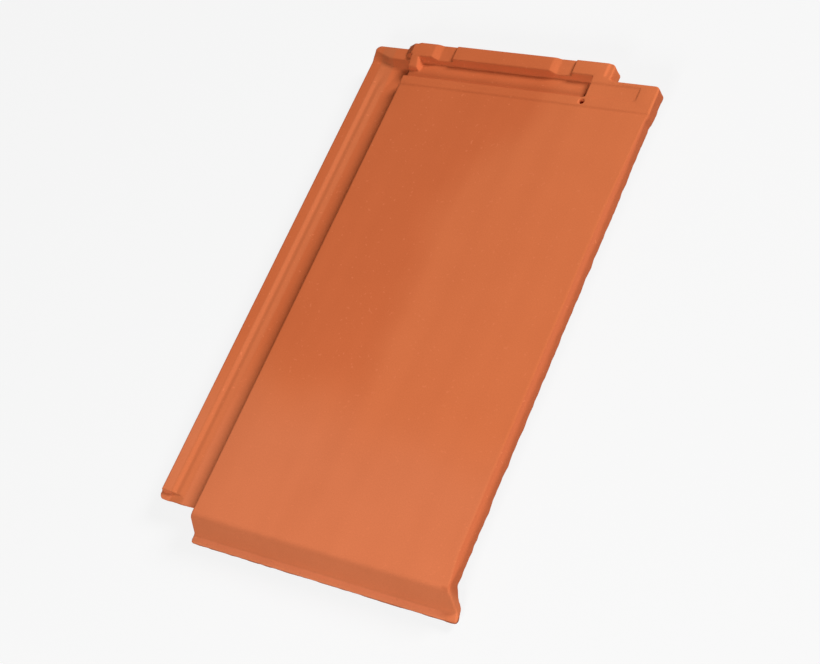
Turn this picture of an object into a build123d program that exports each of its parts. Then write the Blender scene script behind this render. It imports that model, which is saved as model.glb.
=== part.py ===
from build123d import *
import os
from math import atan, degrees, radians, tan

# Flat interlocking roof tile, pressed from clay and fired as one piece.
# It lies on a level floor with its weather face up: X runs across the tile to the covering side,
# Y runs up the roof slope to the head, and Z is up. All lengths are millimetres.
# While it is built, X starts at the left edge of the face and Y at the fold of the foot.

# Weather face
face_width = 235.0  # left edge to right edge of the face that stays in view
face_length = 416.9  # fold at the foot to the step of the head strip
face_height = 30.0  # floor to weather face
plate_thickness = 14.0
wall_draft = 1.5  # degrees that the outer walls lean out downwards
edge_round = 1.5  # round on the top edges
corner_round = 4.0  # round of the outline's corners, seen from above

# Right edge of the face, which is rounder than the rest and fades into it at both ends
side_round = 5.0
side_round_start = 4.0  # fold to where the round begins
side_round_foot_fade = 26.0
side_round_head_fade = 88.0

# Foot: the face folds down into a sloping apron that ends in a flared lip
fold_round = 7.0
foot_drop = 25.0  # face to the underside of the lip
apron_run = 8.8  # how far the apron reaches out from the fold
apron_fall = 20.5  # how far the apron falls from the face
apron_hollow_round = 4.0  # hollow between the apron and the lip
lip_reach = 15.8  # fold to the tip of the lip
foot_flare = 5.0  # how far each end of the lip stands out past the face
flare_start = 4.0  # fold to where the foot's ends begin to flare
lip_edge = 2.2  # height of the lip's outer edge
lip_round = 1.7
lip_corner_round = 3.0  # round of the lip's two corners, seen from above
lip_undercut = 0.6  # how far the lip's edge draws back towards its underside
nose_width = 12.0  # width of the underside of the foot
nose_slope_run = 11.0  # from the underside of the foot back up to the plate
nose_round = 5.0

# Side lock on the left: a sunk channel with a raised pad outside it
lock_width = 45.0  # face edge to the outer edge of the lock
lock_root = 8.0  # how far the lock runs in under the face
lock_start = 9.0  # fold to the foot end of the lock
lock_thickness = 7.5  # clay under the channel
lock_under_draft = 15.0  # degrees that its walls lean in below the channel
lock_upper_draft = 25.0  # degrees that its outer walls lean in above the channel
lock_corner_round = 5.0
channel_width = 22.0  # face edge to the slope on the channel's outer side
channel_depth = 12.5  # face to the channel's floor
shelf_rise = 1.4  # channel's floor to the shelf beside the pad
shelf_slope = 4.5  # run of the slope up to the shelf
shelf_width = 3.5
pad_rise = 3.5  # channel's floor to the pad
pad_slope = 3.0  # run of the slope from the shelf up to the pad
pad_start = 16.0  # fold to the foot end of the pad
pad_fade_length = 24.0  # stretch at the head where the pad's slope spreads over the channel
pad_fade_width = 11.0  # face edge to the foot of the slope at the end of that stretch

# Dam that closes the side channel at the head
dam_depth = 4.5  # face to the top of the dam
dam_front = 23.5  # strip's step to the dam's foot in the channel
dam_slope = 5.0  # run of the dam's front
dam_back = 40.0  # strip's step to the back of the dam's top
dam_draft = 8.0  # degrees that its outer walls lean in
dam_inset = 1.2  # how far its outer wall stands back from the lock's edge
dam_corner_round = 6.0
dam_outer_slope = 13.0  # run of its front at the outer end, where it is gentle
dam_turn = 20.0  # stretch from the outer end where its front grows steep

# Head: raised strip, cross groove and closing ridge
strip_rise = 1.0
head_spread = 1.2  # how far the head's right end stands out past the face
spread_start = 6.0  # from where the edge begins to turn out to the strip's step
spread_run = 5.0
spread_round = 8.0
strip_width = 9.3
strip_step = 1.0  # run of the strip's slope down to the face
strip_step_round = 1.6
groove_mouth = 21.7  # strip to ridge at the top
groove_front_depth = 4.8  # face to the groove's floor beside the strip
groove_back_depth = 6.2  # face to the groove's floor beside the ridge
groove_front_slope = 1.0
groove_back_slope = 2.4
groove_root_round = 1.2
groove_edge_round = 1.3
groove_edge_width = 3.0  # stretch of the top beside the groove that its round is drawn in
groove_end = 15.3  # groove's closed end to the ridge's right end
ridge_width = 14.0
ridge_end = 44.7  # ridge's right end to the right edge of the face
cover_back = 27.9  # strip's step to the back edge beside the ridge

# Notches in the ridge, each with a ramp on its left and a sharp step on its right
notch_left = 19.5  # left edge of the face to the left notch
notch_right = 56.0  # right notch to the ridge's right end
notch_width = 20.6
notch_ramp = 6.5
notch_front_depth = 3.5
notch_back_depth = 2.0

# Right end of the ridge, and the shallow pocket in front of it
ledge_width = 6.0
ledge_drop = 1.4
ledge_ramp = 1.5
ledge_front_ramp = 3.0
pocket_end = 14.6  # pocket's right end to the right edge of the face
pocket_front = 9.8  # strip's step to the pocket
pocket_width = 14.2
pocket_depth = 0.9
pocket_round = 3.5

# Left end of the ridge: a toe that slopes to the dam, and a nub beside the groove
toe_overhang = 2.0
toe_reach = 10.0
nub_width = 6.2
nub_flank = 5.5  # run of its slope to the groove's floor
nub_length = 10.5
nub_drop = 0.4  # below the ridge's top, at the ridge
nub_fall = 2.4  # how much lower its free end is
nub_end_slope = 3.6
nub_round = 3.0

# Nail hole through the strip
hole_radius = 2.3
hole_back = 0.5  # groove's closed end to the middle of the hole
hole_along = 4.8  # from the strip's step

# Underside: nibs that hook on the batten, their seats and the rib of the foot lock
seat_height = 10.0  # floor to the plane that lies on the batten
seat_length = 38.0
nib_width = 36.0
nib_hole_gap = 15.2  # side of the right nib to the middle of the nail hole
nib_thickness = 15.0
nib_slope = 3.0
nib_front = 17.5  # strip's step to the face that hooks on the batten
rib_along = 52.0  # fold to the middle of the foot rib
rib_width = 8.0
rib_root_width = 13.0
rib_inset = 5.0

# Underside: cover lock on the right, which lies over the next tile's side lock
cover_wall_height = 11.5  # height of the right wall
cover_wall_width = 21.0
cover_recess_width = 23.0
cover_recess_depth = 8.0  # face to the underside over the next tile's pad

# Underside: hollows between stiffening ribs
hollow_count = 3
hollow_depth = 3.5
hollow_border = 14.0
hollow_rib = 9.0
hollow_front = 78.0  # fold to the hollows
hollow_back = 370.0
hollow_round = 8.0
hollow_draft = 20.0  # degrees

overrun = 2.0  # how far a cutter passes the clay, and a joined form runs into it

# Levels and places that follow from the sizes
strip_level = face_height + strip_rise
plate_under = face_height - plate_thickness
lip_level = face_height - foot_drop
channel_level = face_height - channel_depth
pad_level = channel_level + pad_rise
dam_level = face_height - dam_depth
strip_back = face_length + strip_width
spread_place = face_length - spread_start
ridge_front = strip_back + groove_mouth
head_end = ridge_front + ridge_width
cover_end = face_length + cover_back
dam_foot = face_length + dam_front
ridge_length = face_width - ridge_end
groove_length = ridge_length - groove_end
hole_across = groove_length - hole_back
lock_end = face_length + dam_back + (channel_depth - dam_depth) * tan(radians(dam_draft))
shelf_level = channel_level + shelf_rise
lean = foot_drop * tan(radians(wall_draft))
middle = (face_width + foot_flare + lean - lock_width) / 2
nib_offset = hole_across - nib_hole_gap - nib_width / 2 - middle
nose_back = -lip_reach + lip_undercut + nose_width
nose_end = nose_back + nose_slope_run
recess_end = face_width - cover_wall_width
recess_start = recess_end - cover_recess_width
far_side = face_width + lock_width


def outline(points, radii):
    """A closed outline with each corner rounded by its own radius."""
    return make_face(FilletPolyline(*points, radius=radii, close=True))


def along_x(points, radii, start, end):
    """Runs an outline drawn in Y and Z from one X to another."""
    return Pos(start, 0, 0) * extrude(Plane.YZ * outline(points, radii), end - start)


def along_y(points, radii, start, end):
    """Runs an outline drawn in X and Z from one Y to another."""
    return Pos(0, start, 0) * extrude(Plane.XZ * outline(points, radii), start - end)


def plan_walls():
    """The outline seen from above, flared at the foot, with every wall leaning out downwards."""
    corners = [
        (-foot_flare, -lip_reach),
        (face_width + foot_flare, -lip_reach),
        (face_width, flare_start),
        (face_width, spread_place),
        (face_width + head_spread, spread_place + spread_run),
        (face_width + head_spread, cover_end),
        (ridge_length, cover_end),
        (ridge_length, head_end),
        (0, head_end),
        (0, flare_start),
    ]
    flare_round = foot_flare + lip_reach
    head_radii = [spread_round] * 2 + [corner_round] * 4
    radii = [lip_corner_round, lip_corner_round, flare_round, *head_radii, flare_round]
    plan = Pos(0, 0, strip_level) * outline(corners, radii)
    return extrude(plan, -(strip_rise + foot_drop + overrun), taper=-wall_draft)


def folded_plate():
    """The face with its raised head, fold, apron and lip, still solid down to the lip's underside."""
    points = [
        (head_end + lip_reach, lip_level),
        (head_end + lip_reach, strip_level),
        (face_length + strip_step, strip_level),
        (face_length, face_height),
        (0, face_height),
        (-apron_run, face_height - apron_fall),
        (-lip_reach, lip_level + lip_edge),
        (-lip_reach + lip_undercut, lip_level),
    ]
    radii = [0, 0, strip_step_round, strip_step_round, fold_round, apron_hollow_round, lip_round, 0]
    plate = along_x(points, radii, -lock_width, far_side) & plan_walls()
    return fillet(top_edges(plate), edge_round)


def top_edges(plate):
    """The edges between the outer walls and the top of the plate."""
    chosen = []
    for edge in plate.edges():
        box = edge.bounding_box()
        reaches_down = box.min.Z < lip_level + lip_edge / 2
        crosses_face = box.size.X > face_width / 2 and box.max.Y < strip_back
        if not (reaches_down or crosses_face):
            chosen.append(edge)
    return chosen


def underside_cut():
    """What is taken away under the plate, behind the foot."""
    points = [
        (nose_back, lip_level - overrun),
        (nose_back, lip_level),
        (nose_end, plate_under),
        (head_end + lip_reach, plate_under),
        (head_end + lip_reach, lip_level - overrun),
    ]
    radii = [0, 0, nose_round, 0, 0]
    return along_x(points, radii, -lock_width, far_side)


def cover_lock_cut():
    """The recess over the next tile's pad, and the clay cut away under the right wall."""
    slope = nose_slope_run / (plate_under - lip_level)
    side = [
        (nose_end, lip_level - overrun),
        (nose_end, plate_under),
        (nose_end + slope * plate_thickness, face_height),
        (head_end + lip_reach, face_height),
        (head_end + lip_reach, lip_level - overrun),
    ]
    points = [
        (recess_start, lip_level - overrun),
        (recess_start, face_height - cover_recess_depth),
        (recess_end, face_height - cover_recess_depth),
        (recess_end, face_height - cover_wall_height),
        (far_side, face_height - cover_wall_height),
        (far_side, lip_level - overrun),
    ]
    radii = [0, groove_root_round, groove_root_round, groove_root_round, 0, 0]
    section = along_y(points, radii, nose_back, head_end + lip_reach)
    return section & along_x(side, [0] * len(side), recess_start - overrun, far_side)


def hollows():
    """Hollows under the plate, with ribs left between them."""
    field = recess_start - 2 * hollow_border
    width = (field - (hollow_count - 1) * hollow_rib) / hollow_count
    cuts = []
    for i in range(hollow_count):
        left = hollow_border + i * (width + hollow_rib)
        right = left + width
        corners = [(left, hollow_front), (right, hollow_front), (right, hollow_back), (left, hollow_back)]
        plan = Pos(0, 0, plate_under) * outline(corners, [hollow_round] * len(corners))
        cuts.append(extrude(plan, hollow_depth, taper=hollow_draft))
    return cuts


def side_round_section(along, radius):
    """What is cut off the right edge of the face at one place, to round it."""
    across = face_width - radius
    level = face_height - radius
    outer = face_width + overrun
    top = face_height + overrun
    arc = RadiusArc((across, face_height), (face_width, level), radius)
    rest = Polyline((face_width, level), (outer, level), (outer, top), (across, top), (across, face_height))
    return Pos(0, along, 0) * (Plane.XZ * make_face([arc, rest]))


def side_round_cut():
    """The round on the right edge of the face, with its two fading ends."""
    start = side_round_start
    full_start = start + side_round_foot_fade
    end = spread_place - overrun
    full_end = end - side_round_head_fade
    places = [
        (start, edge_round),
        (full_start, side_round),
        (full_end, side_round),
        (end, edge_round),
    ]
    return loft([side_round_section(along, radius) for along, radius in places], ruled=True)


def groove_cut():
    """The cross groove of the head lock, open to the side channel at its left end."""
    points = [
        (strip_back - groove_edge_width, strip_level + overrun),
        (strip_back - groove_edge_width, strip_level),
        (strip_back, strip_level),
        (strip_back + groove_front_slope, face_height - groove_front_depth),
        (ridge_front - groove_back_slope, face_height - groove_back_depth),
        (ridge_front, strip_level),
        (ridge_front + groove_edge_width, strip_level),
        (ridge_front + groove_edge_width, strip_level + overrun),
    ]
    edge, root = groove_edge_round, groove_root_round
    radii = [0, 0, edge, root, root, edge, 0, 0]
    return along_x(points, radii, -lock_width, groove_length)


def notch_section(start, along, depth):
    """Section of a notch at one place along the slope."""
    end = start + notch_width
    lead = overrun * notch_ramp / depth
    points = [
        (start - lead, strip_level + overrun),
        (start + notch_ramp, strip_level - depth),
        (end, strip_level - depth),
        (end, strip_level + overrun),
    ]
    return Pos(0, along, 0) * (Plane.XZ * outline(points, [0] * len(points)))


def notch_cut(start):
    """One notch in the ridge's top, deeper at the groove than at the back."""
    front = notch_section(start, ridge_front - groove_back_slope, notch_front_depth)
    back = notch_section(start, head_end + overrun, notch_back_depth)
    return loft([front, back], ruled=True)


def ledge_cut():
    """The lower ledge at the ridge's right end, with a ramp on its left and at its front."""
    floor = strip_level - ledge_drop
    top = strip_level + overrun
    left = ridge_length - ledge_width
    left_lead = overrun * ledge_ramp / ledge_drop
    right = ridge_length + overrun
    front = cover_end + overrun
    front_lead = overrun * ledge_front_ramp / ledge_drop
    back = head_end + lip_reach
    across = [(left - left_lead, top), (left + ledge_ramp, floor), (right, floor), (right, top)]
    side = [(front - front_lead, top), (front + ledge_front_ramp, floor), (back, floor), (back, top)]
    run = along_y(across, [0] * len(across), front - front_lead, back)
    return run & along_x(side, [0] * len(side), left - left_lead, right)


def pocket_cut():
    """The shallow pocket right of the groove, open to it."""
    front = face_length + pocket_front
    back = front + pocket_width
    right = face_width - pocket_end
    corners = [
        (groove_length - overrun, front),
        (right, front),
        (right, back),
        (groove_length - overrun, back),
    ]
    plan = Pos(0, 0, strip_level - pocket_depth) * outline(corners, [0, pocket_round, 0, 0])
    return extrude(plan, pocket_depth + overrun)


def nail_hole():
    """The hole for the nail that holds the tile down on its batten."""
    drill = Cylinder(hole_radius, plate_thickness + strip_rise + overrun)
    return Pos(hole_across, face_length + hole_along, (plate_under + strip_level) / 2) * drill


def lock_plan(width, back_round):
    """The side lock's outline at the level of the channel's floor."""
    corners = [
        (-width, lock_start),
        (lock_root, lock_start),
        (lock_root, lock_end),
        (-width, lock_end),
    ]
    radii = [lock_corner_round, 0, 0, back_round]
    return Pos(0, 0, channel_level) * outline(corners, radii)


def pad_section(along, slope):
    """Cross section of the pad at one place. The slope is its line from the channel's floor up to the pad."""
    under = channel_level - overrun
    points = [
        (-lock_width, under),
        (slope[0][0], under),
        *slope,
        (-lock_width, pad_level),
    ]
    return Pos(0, along, 0) * (Plane.XZ * outline(points, [0] * len(points)))


def pad_slopes():
    """The pad's stepped slope along the channel, and the even slope that it turns into at the dam."""
    shelf_inner = -channel_width - shelf_slope
    shelf_outer = shelf_inner - shelf_width
    foot = (-channel_width, channel_level)
    top = (shelf_outer - pad_slope, pad_level)
    stepped = [foot, (shelf_inner, shelf_level), (shelf_outer, shelf_level), top]
    run = (top[0] + pad_fade_width) / (len(stepped) - 1)
    rise = pad_rise / (len(stepped) - 1)
    even = [(-pad_fade_width + i * run, channel_level + i * rise) for i in range(len(stepped))]
    return stepped, even


def dam_section(across, foot_level, slope):
    """Section of the dam at one place across the lock."""
    back = lock_end + overrun
    points = [
        (dam_foot, channel_level - overrun),
        (dam_foot, foot_level),
        (dam_foot + slope, dam_level),
        (back, dam_level),
        (back, channel_level - overrun),
    ]
    return Pos(across, 0, 0) * (Plane.YZ * outline(points, [0] * len(points)))


def side_lock():
    """Channel floor, pad and dam."""
    plan = lock_plan(lock_width, lock_corner_round)
    dam_plan = lock_plan(lock_width - dam_inset, dam_corner_round)
    base = extrude(plan, -lock_thickness, taper=lock_under_draft)
    stepped, even = pad_slopes()
    fade_start = dam_foot - pad_fade_length
    pad = extrude(pad_section(pad_start, stepped), pad_start - fade_start)
    fade = loft([pad_section(fade_start, stepped), pad_section(dam_foot + overrun, even)], ruled=True)
    pad_room = extrude(plan, channel_depth, taper=lock_upper_draft) + base
    outer = dam_section(-lock_width, pad_level, dam_outer_slope)
    inner_place = -lock_width + dam_turn
    inner = dam_section(inner_place, channel_level, dam_slope)
    dam = loft([outer, inner], ruled=True) + extrude(inner, overrun - inner_place)
    dam_room = extrude(dam_plan, channel_depth, taper=dam_draft) + base
    return base + ((pad + fade) & pad_room) + (dam & dam_room)


def ridge_toe():
    """The ridge's left end, sloping down to the dam."""
    points = [
        (overrun, strip_level),
        (-toe_overhang, strip_level),
        (-toe_reach, dam_level),
        (-toe_reach, channel_level),
        (overrun, channel_level),
    ]
    return along_y(points, [0] * len(points), ridge_front + edge_round, head_end - edge_round)


def groove_nub():
    """The rounded nub that runs from the ridge's left end along the open end of the groove."""
    floor = face_height - groove_back_depth - overrun
    top = strip_level - nub_drop
    tip = ridge_front - nub_length
    side = [
        (ridge_front + edge_round, floor),
        (ridge_front + edge_round, top),
        (ridge_front, top),
        (tip, top - nub_fall),
        (tip - nub_end_slope, floor),
    ]
    across = [
        (-toe_overhang, floor),
        (-toe_overhang / 2, top),
        (nub_width, top),
        (nub_width + nub_flank, floor),
    ]
    shape = along_x(side, [0, 0, nub_round, nub_round, 0], -lock_width, far_side)
    return shape & along_y(across, [0, 0, nub_round, 0], strip_back, head_end)


def nib(centre):
    """One nib with the seat in front of it that lies on the batten."""
    hook = face_length + nib_front
    back = hook + nib_thickness
    front = hook - seat_length
    root = plate_under + overrun
    points = [
        (front, root),
        (front + nib_slope, seat_height),
        (hook, seat_height),
        (hook, 0),
        (back - nib_slope, 0),
        (back, root),
    ]
    radii = [0, edge_round, 0, edge_round, edge_round, 0]
    return along_x(points, radii, centre - nib_width / 2, centre + nib_width / 2)


def foot_rib():
    """The rib that drops into the head groove of the tile below."""
    root = plate_under + overrun
    points = [
        (rib_along - rib_root_width / 2, root),
        (rib_along - rib_width / 2, 0),
        (rib_along + rib_width / 2, 0),
        (rib_along + rib_root_width / 2, root),
    ]
    radii = [0, edge_round, edge_round, 0]
    return along_x(points, radii, rib_inset, groove_length - rib_inset)


def roof_tile():
    """The whole tile, with the middle of its footprint at the origin."""
    tile = folded_plate() - underside_cut() - side_round_cut()
    tile = tile - cover_lock_cut() - hollows()
    tile = tile - groove_cut() - ledge_cut() - pocket_cut()
    tile = tile - notch_cut(notch_left) - notch_cut(ridge_length - notch_right)
    tile = tile + side_lock() + ridge_toe() + groove_nub() + foot_rib()
    tile = tile + [nib(middle - nib_offset), nib(middle + nib_offset)]
    tile = tile - nail_hole()
    box = tile.bounding_box()
    return Pos(-box.center().X, -box.center().Y, -box.min.Z) * tile


os.makedirs("parts", exist_ok=True)
export_step(roof_tile(), "parts/roof_tile.step")
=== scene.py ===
import bmesh
import bpy
from mathutils import Matrix, Vector


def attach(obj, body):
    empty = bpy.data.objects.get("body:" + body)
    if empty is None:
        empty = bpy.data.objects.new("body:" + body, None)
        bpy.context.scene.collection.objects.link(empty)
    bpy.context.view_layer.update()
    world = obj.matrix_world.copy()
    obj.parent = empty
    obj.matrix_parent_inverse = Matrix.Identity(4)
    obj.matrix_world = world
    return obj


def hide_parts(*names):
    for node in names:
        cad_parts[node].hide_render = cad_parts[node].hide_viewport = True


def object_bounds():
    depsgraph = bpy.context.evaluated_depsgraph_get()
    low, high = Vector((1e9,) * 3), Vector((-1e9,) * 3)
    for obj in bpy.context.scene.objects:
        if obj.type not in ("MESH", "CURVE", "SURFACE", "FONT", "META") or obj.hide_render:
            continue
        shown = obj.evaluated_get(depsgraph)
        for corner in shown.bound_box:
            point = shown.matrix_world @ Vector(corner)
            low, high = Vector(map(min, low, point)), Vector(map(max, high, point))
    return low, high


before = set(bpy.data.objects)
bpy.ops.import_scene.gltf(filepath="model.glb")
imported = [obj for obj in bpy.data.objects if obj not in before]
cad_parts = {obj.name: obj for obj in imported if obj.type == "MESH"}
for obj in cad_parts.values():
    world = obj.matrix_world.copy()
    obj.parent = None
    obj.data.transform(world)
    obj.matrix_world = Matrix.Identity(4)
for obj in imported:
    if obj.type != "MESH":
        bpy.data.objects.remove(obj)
cad_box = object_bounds()

# Lengths are metres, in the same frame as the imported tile: +Z out of the weather face,
# +Y up the roof slope to the head, +X to the covering side.
LEFT_SIDE, FOOT, BED = cad_box[0]
RIGHT_SIDE, HEAD, TOP = cad_box[1]

# Pressed skin of the clay
SKIN_GRID = 0.0006  # spacing of the points that the skin is drawn with
SOFTENING_STEPS = 2  # how often the skin's edges are softened
FACE_UNEVENNESS = 0.00012  # how far the pressed face strays from flat
FACE_WAVE = 0.07  # length of that unevenness
EDGE_WAVER = 0.0012  # how far trimmed edges and the underside stray
EDGE_WAVE = 0.01  # length of that waver
WAVE_DETAIL = 1.0  # how many finer waves go on top of either
PRESSED_SLOPE = 0.4  # what faces up more than this was pressed, and the rest was trimmed
MERGE_DISTANCE = 1e-6
TRIANGLE_LIMIT = 180000

# Colours of the clay, and of the shade, light and sheen painted on it
CLAY = (0.695, 0.178, 0.062, 1)
DEEPER_CLAY = (0.645, 0.151, 0.05, 1)  # patch on the face's left
PALE_SPECK_AND_SHEEN_CLAY = (0.71, 0.195, 0.078, 1)  # painted light and sheen towards the foot, and the clay's own pale specks
RIGHT_WALL_SHADE_CLAY = (0.585, 0.14, 0.052, 1)  # painted shade on the right wall and its rounded top edge
PAD_SLOPE_SHADE_CLAY = (0.59, 0.155, 0.056, 1)  # painted shade on the slopes of the side lock's pad
LIT_LIP_CLAY = (0.9, 0.262, 0.113, 1)  # painted light on the lip of the foot, fading out at its right end
LIP_EDGE_SHADE_CLAY = (0.36, 0.085, 0.032, 1)  # painted shade on the lower edge of that lip
STREAK_SHADES = [(0.3, (0.94, 0.92, 0.9, 1)), (0.7, (1, 1, 1, 1))]
DUST_SHADES = [(0.25, (0.93, 0.91, 0.89, 1)), (0.75, (1, 1, 1, 1))]

# Where the clay changes colour, and where shade, light and sheen are painted on it: the start and the end
# of each soft change
HEAD_LEAN_ALONG = (HEAD - 0.16886, HEAD - 0.03886)
HEAD_LEAN = 0.04  # how far the deeper patch reaches further right at the head
DEEPER_ACROSS = (0.022, -0.026)
DEEPER_ALONG = (FOOT + 0.09886, FOOT + 0.18886)
FOOT_SHEEN_ALONG = (FOOT + 0.15886, FOOT + 0.07886)
RIGHT_WALL_SHADE_ACROSS = (RIGHT_SIDE - 0.01191, RIGHT_SIDE - 0.00891)
RIGHT_WALL_SHADE_ALONG = (FOOT + 0.01286, FOOT + 0.02086)
RIGHT_WALL_SHADE_HEIGHT = (TOP - 0.00095, TOP - 0.0016)
PAD_SHADE_INNER = (LEFT_SIDE + 0.02491, LEFT_SIDE + 0.02191)
PAD_SHADE_OUTER = (LEFT_SIDE + 0.00991, LEFT_SIDE + 0.01241)
LIP_ALONG = (FOOT + 0.00636, FOOT + 0.00436)
LIP_SHADE_HEIGHT = (BED + 0.0074, BED + 0.0065)
LIT_LIP_ACROSS = (RIGHT_SIDE - 0.00641, RIGHT_SIDE - 0.01841)

# Patterns in the clay: waves in a metre, and how many finer waves go on top
CLOUD_PATTERN = (30.0, 4.0)
BILLOW_PATTERN = (11.0, 1.0)
GRAIN_PATTERN = (900.0, 2.0)
SPECK_PATTERN = (420.0, 0.0)
STREAK_STRETCH = (40.0, 3.0, 40.0)  # waves in a metre across, along and down
STREAK_PATTERN = (1.0, 1.0)  # on places that are stretched already
NOISE_MIDDLE = 0.5
BILLOW_DRIFT = 0.06  # how far the patches' borders wander with the billows
STREAK_DRIFT = 0.02  # and with the streaks
STREAK_WEIGHT = 0.6
CLOUD_WEIGHT = 0.4
SPECK_LEVELS = (0.76, 0.82)
SPECK_STRENGTH = 0.5

# Finish of the clay
ROUGHNESS = 0.7
CLOUD_ROUGHNESS = 0.14  # what the clouds add to it
GLOSS = 0.12
GRAIN_STRENGTH = 0.12
GRAIN_HEIGHT = 0.0004

# Camera, fitted to the straight edges of the photographed tile
PICTURE_WIDTH = 820
SENSOR = 36.0
FOCAL_PIXELS = 1729.1
CAMERA_PLACE = (0.70539, -0.49981, 1.0994)
CAMERA_RIGHT = (0.8431, 0.3883, -0.3721)
CAMERA_BACK = (0.5074, -0.3449, 0.7897)

# Studio
FLOOR_SIZE = 12.0
FLOOR_COLOUR = (0.935, 0.935, 0.935, 1)
FLOOR_GLOW = (0.25, 0.25, 0.25, 1)  # what the floor sends back up to the clay
SHADOW_SHARE = 0.1  # how much of the floor's own shading the camera sees
SKY_COLOUR = (1, 1, 1, 1)
SKY_STRENGTH = 0.01
SOFTBOXES = {  # place, width and power
    "side_softbox": ((3.04, 2.74, 2.87), 1.9, 258.0),
    "front_softbox": ((0.41, -1.4, 1.035), 0.65, 20.5),
}


class Socket:
    """One output of a node, with the arithmetic that the script needs."""

    def __init__(self, tree, socket):
        self.tree = tree
        self.socket = socket

    def maths(self, operation, first, second):
        return self.tree.add("ShaderNodeMath", {"operation": operation}, {0: first, 1: second})

    def __add__(self, other):
        return self.maths("ADD", self, other)

    def __sub__(self, other):
        return self.maths("SUBTRACT", self, other)

    def __rsub__(self, other):
        return self.maths("SUBTRACT", other, self)

    def __mul__(self, other):
        return self.maths("MULTIPLY", self, other)

    __radd__ = __add__
    __rmul__ = __mul__


class Nodes:
    """A node tree that is filled through one method."""

    def __init__(self, tree):
        self.tree = tree

    def add(self, kind, settings=None, inputs=None, output=0):
        """Adds one node: its settings first, then the values or links of its sockets."""
        made = self.tree.nodes.new(kind)
        for name, value in (settings or {}).items():
            if name == "stops":
                self.set_stops(made.color_ramp.elements, value)
            else:
                setattr(made, name, value)
        for name, value in (inputs or {}).items():
            if isinstance(value, Socket):
                self.tree.links.new(value.socket, made.inputs[name])
            else:
                made.inputs[name].default_value = value
        if not made.outputs:
            return None
        return Socket(self, made.outputs[output])

    def set_stops(self, elements, stops):
        while len(elements) < len(stops):
            elements.new(1.0)
        for element, (place, colour) in zip(elements, stops):
            element.position = place
            element.color = colour


def new_material(name):
    material = bpy.data.materials.new(name)
    material.use_nodes = True
    material.node_tree.nodes.clear()
    return material, Nodes(material.node_tree)


def add_object(name, data):
    made = bpy.data.objects.new(name, data)
    bpy.context.scene.collection.objects.link(made)
    return made


def noise(nodes, place, pattern):
    scale, detail = pattern
    return nodes.add("ShaderNodeTexNoise", {}, {"Vector": place, "Scale": scale, "Detail": detail})


def ramp(nodes, value, change):
    """0 before the change starts, 1 past its end, and soft between them."""
    start, end = change
    return nodes.add(
        "ShaderNodeMapRange",
        {"interpolation_type": "SMOOTHSTEP"},
        {"Value": value, "From Min": start, "From Max": end},
    )


def shades(nodes, value, stops):
    return nodes.add("ShaderNodeValToRGB", {"stops": stops}, {"Fac": value})


def blend(nodes, factor, first, second, way="MIX"):
    settings = {"data_type": "RGBA", "blend_type": way}
    return nodes.add("ShaderNodeMix", settings, {"Factor": factor, "A": first, "B": second}, "Result")


def patched_clay_with_painted_light(nodes, place, drift):
    """The clay's colour, with patches from the firing, painted shade on the right wall, the pad's slopes
    and the lip's lower edge, painted light on the lip, and painted light and sheen towards the foot.
    """
    across, along, height = (
        nodes.add("ShaderNodeSeparateXYZ", {}, {"Vector": place}, axis) for axis in "XYZ"
    )
    head_lean = ramp(nodes, along, HEAD_LEAN_ALONG) * HEAD_LEAN
    left_part = ramp(nodes, across + drift - head_lean, DEEPER_ACROSS)
    deeper = left_part * ramp(nodes, along + drift, DEEPER_ALONG)
    # Painted light and sheen: the face turns paler towards the foot
    foot_sheen = ramp(nodes, along + drift, FOOT_SHEEN_ALONG)
    # Painted shade on the right wall and its rounded top edge, stopping short of the foot's apron
    right_wall_shade = ramp(nodes, across, RIGHT_WALL_SHADE_ACROSS) * ramp(nodes, height, RIGHT_WALL_SHADE_HEIGHT)
    right_wall_shade = right_wall_shade * ramp(nodes, along, RIGHT_WALL_SHADE_ALONG)
    # Painted shade on the slopes of the side lock's pad
    pad_slope_shade = ramp(nodes, across, PAD_SHADE_INNER) * ramp(nodes, across, PAD_SHADE_OUTER)
    lip = ramp(nodes, along, LIP_ALONG)
    # Painted light on the lip of the foot
    lit_lip = lip * ramp(nodes, across, LIT_LIP_ACROSS)
    # Painted shade on the lip's lower edge
    lip_edge_shade = lip * ramp(nodes, height, LIP_SHADE_HEIGHT)
    tones = (
        (deeper, DEEPER_CLAY),
        (foot_sheen, PALE_SPECK_AND_SHEEN_CLAY),
        (right_wall_shade, RIGHT_WALL_SHADE_CLAY),
        (pad_slope_shade, PAD_SLOPE_SHADE_CLAY),
        (lit_lip, LIT_LIP_CLAY),
        (lip_edge_shade, LIP_EDGE_SHADE_CLAY),
    )
    colour = CLAY
    for patch, tone in tones:
        colour = blend(nodes, patch, colour, tone)
    return colour


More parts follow.
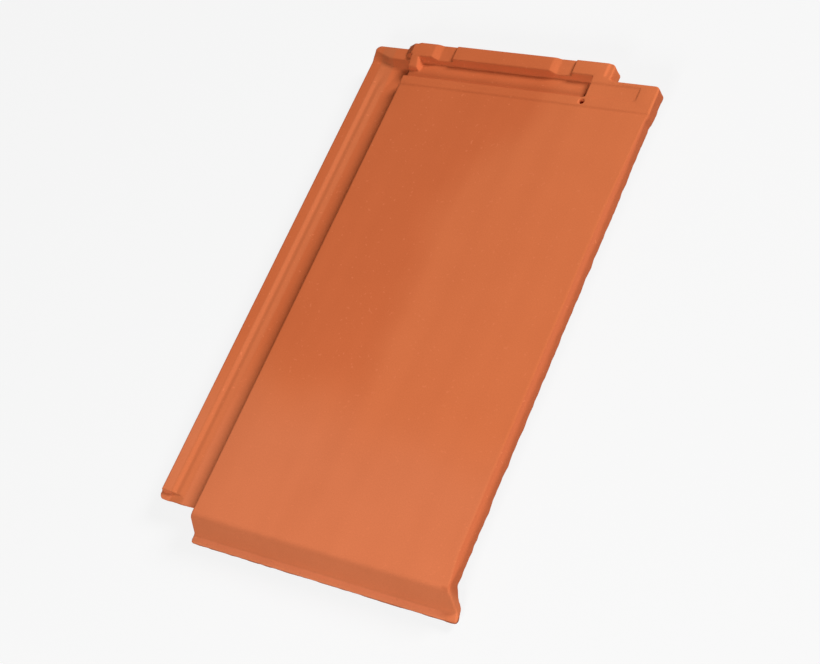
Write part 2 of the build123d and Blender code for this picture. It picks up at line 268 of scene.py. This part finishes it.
def fired_clay():
    """Matt red clay with patches from the firing, soft streaks, fine grain and pale specks, and painted
    shade, light and sheen on some of its parts.
    """
    material, nodes = new_material("fired_clay")
    place = nodes.add("ShaderNodeTexCoord", output="Object")
    stretched = nodes.add("ShaderNodeMapping", {}, {"Vector": place, "Scale": STREAK_STRETCH})
    streaks = noise(nodes, stretched, STREAK_PATTERN)
    clouds = noise(nodes, place, CLOUD_PATTERN)
    billows = noise(nodes, place, BILLOW_PATTERN)
    grain = noise(nodes, place, GRAIN_PATTERN)
    specks = ramp(nodes, noise(nodes, place, SPECK_PATTERN), SPECK_LEVELS)
    drift = (billows - NOISE_MIDDLE) * BILLOW_DRIFT + (streaks - NOISE_MIDDLE) * STREAK_DRIFT
    colour = patched_clay_with_painted_light(nodes, place, drift)
    streaked = shades(nodes, streaks * STREAK_WEIGHT + clouds * CLOUD_WEIGHT, STREAK_SHADES)
    colour = blend(nodes, 1.0, colour, streaked, "MULTIPLY")
    colour = blend(nodes, 1.0, colour, shades(nodes, grain, DUST_SHADES), "MULTIPLY")
    colour = blend(nodes, specks * SPECK_STRENGTH, colour, PALE_SPECK_AND_SHEEN_CLAY)
    bump = nodes.add(
        "ShaderNodeBump",
        {},
        {"Height": grain, "Strength": GRAIN_STRENGTH, "Distance": GRAIN_HEIGHT},
    )
    finish = {
        "Base Color": colour,
        "Roughness": ROUGHNESS + clouds * CLOUD_ROUGHNESS,
        "Specular IOR Level": GLOSS,
        "Normal": bump,
    }
    shader = nodes.add("ShaderNodeBsdfPrincipled", {}, finish)
    nodes.add("ShaderNodeOutputMaterial", {}, {"Surface": shader})
    return material


def pressed_skin_tree(clay):
    """Softens the tile's edges and lets its skin stray a little, as pressed and trimmed clay does."""
    tree = bpy.data.node_groups.new("pressed_skin", "GeometryNodeTree")
    names = {}

    def size_input(name, kind, value):
        made = tree.interface.new_socket(name, in_out="INPUT", socket_type=kind)
        made.default_value = value
        names[name] = made.identifier

    tree.interface.new_socket("Geometry", in_out="INPUT", socket_type="NodeSocketGeometry")
    size_input("Softening", "NodeSocketInt", SOFTENING_STEPS)
    size_input("Unevenness", "NodeSocketFloat", FACE_UNEVENNESS)
    size_input("Waver", "NodeSocketFloat", EDGE_WAVER)
    tree.interface.new_socket("Geometry", in_out="OUTPUT", socket_type="NodeSocketGeometry")

    nodes = Nodes(tree)
    shape, softening, unevenness, waver = (
        nodes.add("NodeGroupInput", output=name) for name in ("Geometry", *names)
    )
    place = nodes.add("GeometryNodeInputPosition")
    soft = nodes.add(
        "GeometryNodeBlurAttribute",
        {"data_type": "FLOAT_VECTOR"},
        {"Value": place, "Iterations": softening, "Weight": 1.0},
    )
    smooth = nodes.add("GeometryNodeSetPosition", {}, {"Geometry": shape, "Position": soft})

    def ripple(wave):
        """Noise of this wave length, from -1 to 1."""
        return noise(nodes, place, (1 / wave, WAVE_DETAIL)) * 2.0 - 1.0

    def vector_maths(operation, inputs):
        return nodes.add("ShaderNodeVectorMath", {"operation": operation}, inputs)

    normal = nodes.add("GeometryNodeInputNormal")
    upward = nodes.add("ShaderNodeSeparateXYZ", {}, {"Vector": normal}, "Z")
    trimmed = nodes.add("ShaderNodeClamp", {}, {"Value": PRESSED_SLOPE - upward})
    amount = ripple(FACE_WAVE) * unevenness + ripple(EDGE_WAVE) * waver * trimmed
    moved = vector_maths("ADD", {0: place, 1: vector_maths("SCALE", {"Vector": normal, "Scale": amount})})
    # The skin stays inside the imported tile's box
    raised = vector_maths("MAXIMUM", {0: moved, 1: cad_box[0]})
    held = vector_maths("MINIMUM", {0: raised, 1: cad_box[1]})
    strayed = nodes.add("GeometryNodeSetPosition", {}, {"Geometry": smooth, "Position": held})
    shaded = nodes.add("GeometryNodeSetShadeSmooth", {}, {"Geometry": strayed, "Shade Smooth": True})
    real = nodes.add("GeometryNodeRealizeInstances", {}, {"Geometry": shaded})
    done = nodes.add("GeometryNodeSetMaterial", {}, {"Geometry": real, "Material": clay})
    nodes.add("NodeGroupOutput", {}, {"Geometry": done})
    return tree, names


def merged_copy(mesh):
    """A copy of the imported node's mesh, whose triangles are loose, with their corners joined."""
    copy = mesh.copy()
    work = bmesh.new()
    work.from_mesh(copy)
    bmesh.ops.remove_doubles(work, verts=work.verts, dist=MERGE_DISTANCE)
    work.to_mesh(copy)
    work.free()
    return copy


def work_in_modifiers(piece):
    """Gives the piece a plain mesh with its modifiers worked into it, and removes them."""
    depsgraph = bpy.context.evaluated_depsgraph_get()
    mesh = bpy.data.meshes.new_from_object(piece.evaluated_get(depsgraph))
    piece.modifiers.clear()
    piece.data = mesh
    mesh.name = piece.name


def pressed_tile(node, clay):
    """The whole tile with softened edges and a slightly uneven skin, in place of the sharp solid."""
    tile = add_object("pressed_tile", merged_copy(node.data))
    skin = tile.modifiers.new("skin", "REMESH")
    skin.mode = "VOXEL"
    skin.voxel_size = SKIN_GRID
    skin.use_smooth_shade = True
    press = tile.modifiers.new("press", "NODES")
    tree, names = pressed_skin_tree(clay)
    press.node_group = tree
    press[names["Softening"]] = SOFTENING_STEPS
    press[names["Unevenness"]] = FACE_UNEVENNESS
    press[names["Waver"]] = EDGE_WAVER
    work_in_modifiers(tile)
    triangles = sum(len(face.vertices) - 2 for face in tile.data.polygons)
    thin = tile.modifiers.new("thin", "DECIMATE")
    thin.ratio = min(1.0, TRIANGLE_LIMIT / triangles)
    work_in_modifiers(tile)
    return tile


def camera():
    data = bpy.data.cameras.new("camera")
    data.sensor_width = SENSOR
    data.lens = FOCAL_PIXELS / PICTURE_WIDTH * SENSOR
    cam = add_object("camera", data)
    back = Vector(CAMERA_BACK).normalized()
    up = back.cross(Vector(CAMERA_RIGHT)).normalized()
    right = up.cross(back)
    turn = Matrix((right, up, back)).transposed().to_4x4()
    cam.matrix_world = Matrix.Translation(CAMERA_PLACE) @ turn
    bpy.context.scene.camera = cam


def seen_directly(nodes):
    """1 for what the camera sees straight, mirrored or through glass, 0 for light that reaches the clay."""
    kinds = ("Is Camera Ray", "Is Glossy Ray", "Is Transmission Ray")
    straight, mirrored, through = (nodes.add("ShaderNodeLightPath", output=kind) for kind in kinds)
    seen = straight.maths("MAXIMUM", straight, mirrored)
    return seen.maths("MAXIMUM", seen, through)


def floor():
    """A pale floor that looks bright to the camera, and sends less light up to the clay."""
    bpy.ops.mesh.primitive_plane_add(size=FLOOR_SIZE)
    plane = bpy.context.object
    plane.name = "floor"
    material, nodes = new_material("pale_floor")
    dim = nodes.add("ShaderNodeBsdfDiffuse", {}, {"Color": FLOOR_GLOW})
    matt = nodes.add("ShaderNodeBsdfDiffuse", {}, {"Color": FLOOR_COLOUR})
    bright = nodes.add("ShaderNodeEmission", {}, {"Color": FLOOR_COLOUR})
    pale = nodes.add("ShaderNodeMixShader", {}, {"Fac": SHADOW_SHARE, 1: bright, 2: matt})
    mixed = nodes.add("ShaderNodeMixShader", {}, {"Fac": seen_directly(nodes), 1: dim, 2: pale})
    nodes.add("ShaderNodeOutputMaterial", {}, {"Surface": mixed})
    plane.data.materials.append(material)


def studio_light():
    """A sky as pale as the floor to the camera, and round softboxes that face the tile."""
    world = bpy.data.worlds.new("studio")
    world.use_nodes = True
    world.node_tree.nodes.clear()
    nodes = Nodes(world.node_tree)
    strength = seen_directly(nodes) * (FLOOR_COLOUR[0] - SKY_STRENGTH) + SKY_STRENGTH
    sky = nodes.add("ShaderNodeBackground", {}, {"Color": SKY_COLOUR, "Strength": strength})
    nodes.add("ShaderNodeOutputWorld", {}, {"Surface": sky})
    bpy.context.scene.world = world
    for name, (place, width, power) in SOFTBOXES.items():
        lamp = bpy.data.lights.new(name, "AREA")
        lamp.shape = "DISK"
        lamp.size = width
        lamp.energy = power
        softbox = add_object(name, lamp)
        softbox.location = place
        softbox.rotation_mode = "QUATERNION"
        softbox.rotation_quaternion = Vector(place).to_track_quat("Z", "Y")
        softbox.visible_camera = False


bpy.context.scene.view_settings.view_transform = "Standard"
camera()
floor()
studio_light()

clay = fired_clay()
tile = pressed_tile(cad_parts["roof_tile"], clay)
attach(tile, "root")
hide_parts("roof_tile")
